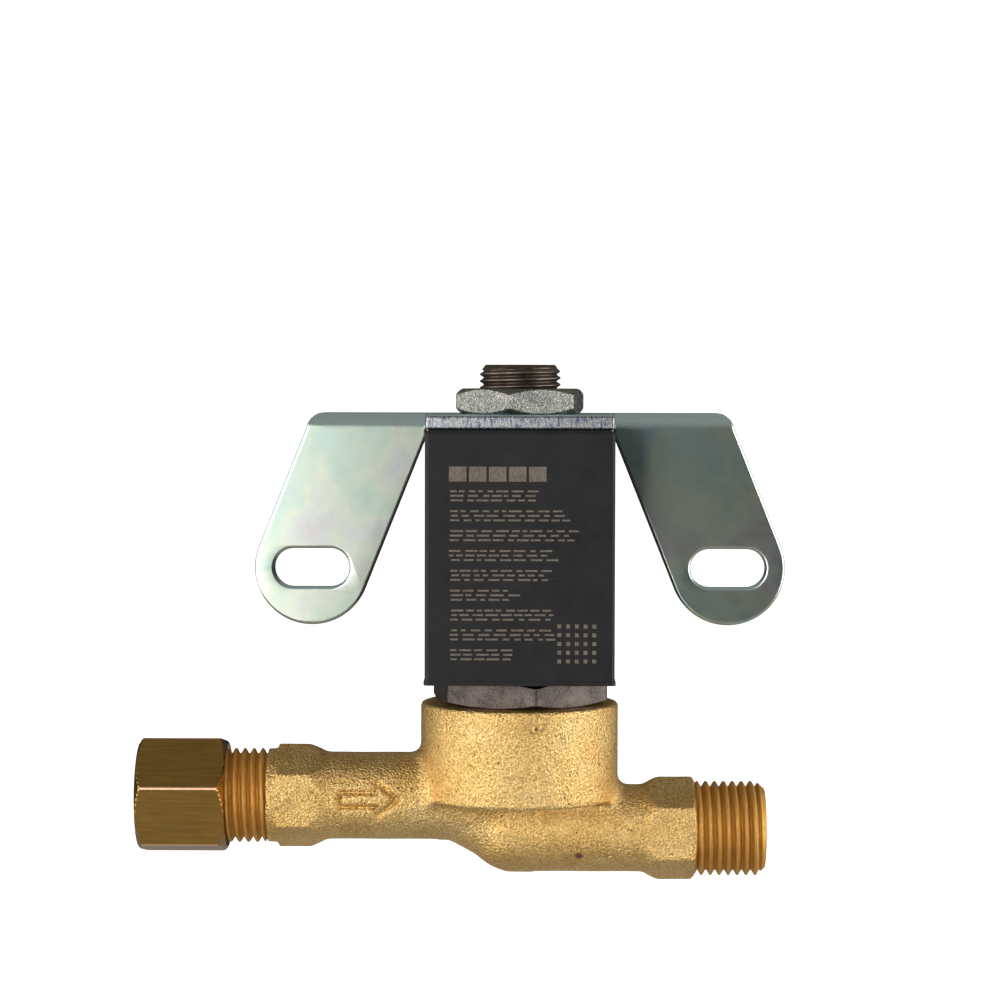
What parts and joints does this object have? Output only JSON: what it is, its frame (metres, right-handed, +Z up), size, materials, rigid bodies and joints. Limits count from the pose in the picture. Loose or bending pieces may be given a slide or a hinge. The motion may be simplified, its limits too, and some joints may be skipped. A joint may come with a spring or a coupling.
{
  "type": "solenoid valve",
  "caption": "Small two-way normally closed solenoid valve: brass body with offset compression ports, encapsulated coil on the stem, and a bent steel bracket with two slotted legs.",
  "frame": {"origin": "midway between the centres of the two bracket slots, on the front face of the bracket legs", "axes": "+Z up along the stem, +X towards the outlet port, +Y from the coil's plain front towards its blade tabs"},
  "size_m": [0.0769, 0.035, 0.061],
  "materials": {
    "brass_body": "sand-blasted forged brass",
    "brass_nut": "polished drawn brass bar",
    "brass_sleeve": "turned brass",
    "base_steel": "satin nickel-grey steel",
    "stainless_tube": "drawn stainless steel",
    "core_steel": "dark burnished stainless steel",
    "copper_ring": "plain copper",
    "plunger_steel": "ground stainless steel",
    "seal_rubber": "moulded rubber",
    "spring_steel": "drawn spring wire",
    "coil_plastic": "satin moulded plastic",
    "bobbin_plastic": "glass-filled moulded plastic",
    "winding_copper": "enamelled copper wire",
    "tape_film": "polyester tape",
    "yoke_steel": "cold-rolled steel",
    "terminal_brass": "tin-plated brass",
    "bracket_zinc": "zinc plated, passivated steel sheet",
    "nut_zinc": "zinc plated steel"
  },
  "bodies": {
    "bracket": {"mounting_bracket": "bracket_zinc", "coil_housing": "coil_plastic", "coil_bobbin": "bobbin_plastic", "copper_winding": "winding_copper", "winding_tape": "tape_film", "winding_leads": "winding_copper", "coil_yoke": "yoke_steel", "terminal_left": "terminal_brass", "terminal_right": "terminal_brass", "earth_terminal": "terminal_brass"},
    "valve": {"valve_body": "brass_body", "tube_base_hex": "base_steel", "guide_tube": "stainless_tube", "fixed_core": "core_steel", "shading_ring": "copper_ring", "body_o_ring": "seal_rubber"},
    "coil_nut": {"coil_nut": "nut_zinc"},
    "plunger": {"plunger": "plunger_steel", "plunger_seal": "seal_rubber", "plunger_spring": "spring_steel"},
    "sleeve": {"compression_sleeve": "brass_sleeve"},
    "port_nut": {"compression_nut": "brass_nut"}
  },
  "joints": [
    {"name": "stem_swivel", "type": "hinge", "parent": "bracket", "child": "valve", "pos_m": [0, -0.006, -0.0123], "axis": [0, 0, 1], "continuous": true},
    {"name": "coil_nut_turn", "type": "hinge", "parent": "valve", "child": "coil_nut", "pos_m": [0, -0.006, 0.0201], "axis": [0, 0, 1], "range_deg": [0, 90]},
    {"name": "plunger_lift", "type": "slide", "parent": "valve", "child": "plunger", "axis": [0, 0, 1], "range_m": [0, 0.0015], "stiffness_N_per_m": 250, "springref_m": -0.006, "deforming": ["plunger_spring"]},
    {"name": "nut_advance", "type": "slide", "parent": "valve", "child": "sleeve", "axis": [1, 0, 0], "range_m": [-0.00317, 0.00105]},
    {"name": "nut_spin", "type": "hinge", "parent": "sleeve", "child": "port_nut", "pos_m": [-0.0395, -0.006, -0.02665], "axis": [1, 0, 0], "range_deg": [-1080, 360]}
  ],
  "couplings": [
    {"joint": "nut_spin", "follows": "nut_advance", "rad_per_m": 5936.9}
  ]
}
